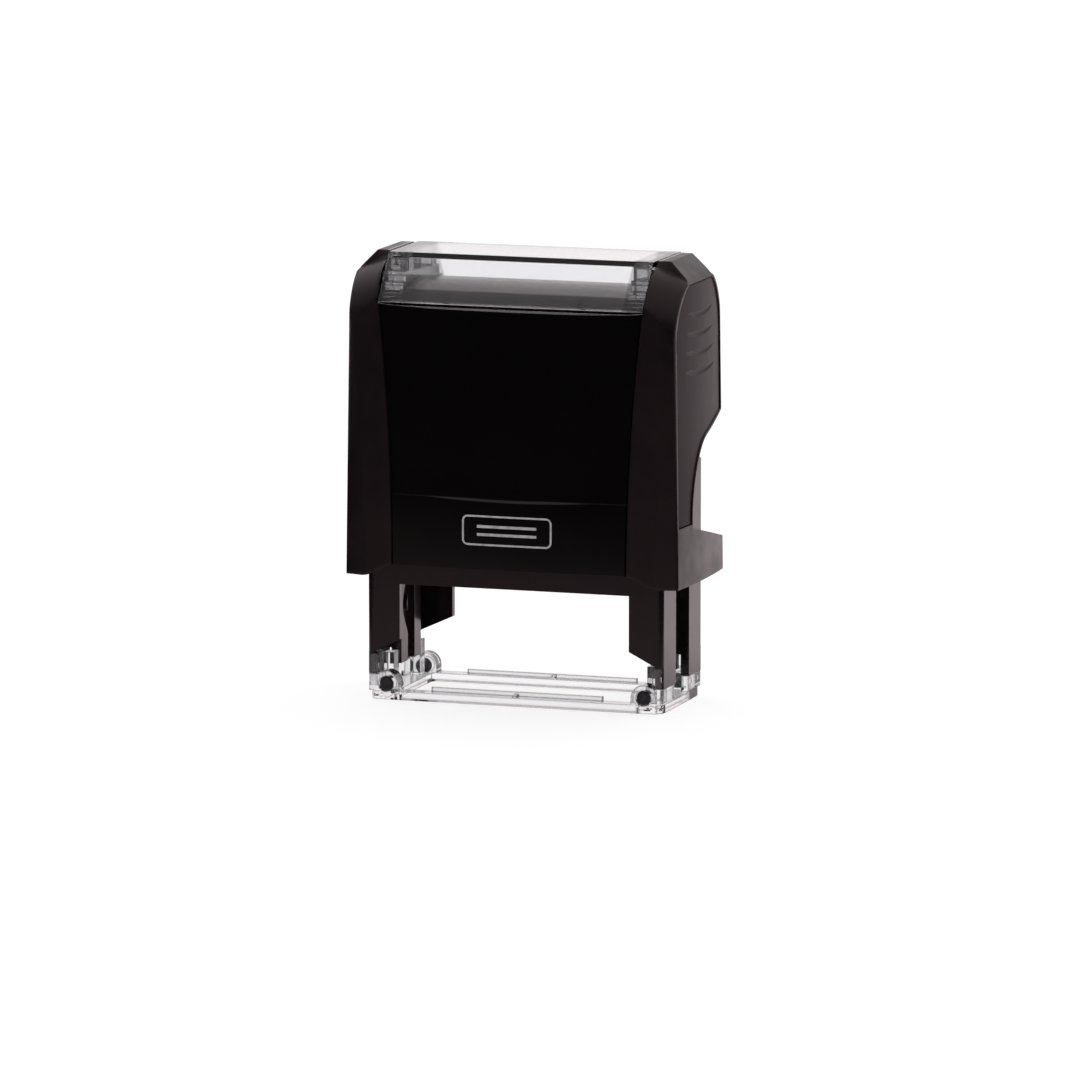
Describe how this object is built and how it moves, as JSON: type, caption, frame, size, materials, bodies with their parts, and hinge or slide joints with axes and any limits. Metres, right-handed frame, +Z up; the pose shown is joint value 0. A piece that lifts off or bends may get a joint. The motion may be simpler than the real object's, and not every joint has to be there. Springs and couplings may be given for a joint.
{
  "type": "self inking stamp",
  "caption": "Self-inking stamp: press the cap and the die turns over from its ink pad, drops through the clear base and prints.",
  "frame": {"origin": "middle of the footprint, on the plane that the feet stand on", "axes": "+X along the long side to the right, +Y to the back, +Z up"},
  "size_m": [0.057, 0.029, 0.0725],
  "materials": {
    "cap_black": "moulded plastic, glossy front panel and satin cheeks",
    "grip_black": "satin moulded plastic with shallow finger grooves",
    "frame_black": "smooth moulded plastic",
    "clear_plastic": "clear polished plastic",
    "plug_rubber": "dark soft plug",
    "spring_steel": "drawn spring wire",
    "pin_steel": "smooth ground pin",
    "holder_plastic": "satin moulded plastic",
    "foam": "closed-cell foam",
    "die_rubber": "laser-cut rubber, stained with ink",
    "tray_plastic": "satin moulded plastic",
    "ink_felt": "felt soaked with red ink"
  },
  "bodies": {
    "base_frame": {"clear_base": "clear_plastic", "corner_plug_front_left": "plug_rubber", "corner_plug_front_right": "plug_rubber", "corner_plug_back_left": "plug_rubber", "corner_plug_back_right": "plug_rubber", "lower_frame": "frame_black", "return_spring": "spring_steel"},
    "cap": {"cap_shell": "cap_black", "drive_yoke": "frame_black"},
    "grip_left": {"side_grip_left": "grip_black"},
    "grip_right": {"side_grip_right": "grip_black"},
    "cover": {"window_cover": "clear_plastic"},
    "die": {"die_holder": "holder_plastic", "axle_pin_left": "pin_steel", "axle_pin_right": "pin_steel", "guide_pin_left": "pin_steel", "guide_pin_right": "pin_steel", "die_cushion": "foam", "text_die": "die_rubber"},
    "cassette": {"pad_tray": "tray_plastic", "ink_pad": "ink_felt"}
  },
  "joints": [
    {"name": "cap_press", "type": "slide", "parent": "base_frame", "child": "cap", "axis": [0, 0, -1], "range_m": [0, 0.018], "stiffness_N_per_m": 400, "springref_m": -0.015, "deforming": ["return_spring"]},
    {"name": "die_flip", "type": "hinge", "parent": "cap", "child": "die", "pos_m": [0, 0, 0.0235], "axis": [-1, 0, 0], "range_deg": [0, 180]},
    {"name": "grip_left_press", "type": "slide", "parent": "cap", "child": "grip_left", "axis": [1, 0, 0], "range_m": [0, 0.0007], "stiffness_N_per_m": 1500, "springref_m": -0.001},
    {"name": "grip_right_press", "type": "slide", "parent": "cap", "child": "grip_right", "axis": [-1, 0, 0], "range_m": [0, 0.0007], "stiffness_N_per_m": 1500, "springref_m": -0.001},
    {"name": "cover_lift", "type": "slide", "parent": "cap", "child": "cover", "axis": [0, 0, 1], "range_m": [0, 0.015]},
    {"name": "cassette_slide", "type": "slide", "parent": "base_frame", "child": "cassette", "axis": [0, 1, 0], "range_m": [0, 0.03]}
  ],
  "couplings": [
    {"joint": "die_flip", "follows": "cap_press", "rad_per_m": 174.53}
  ]
}
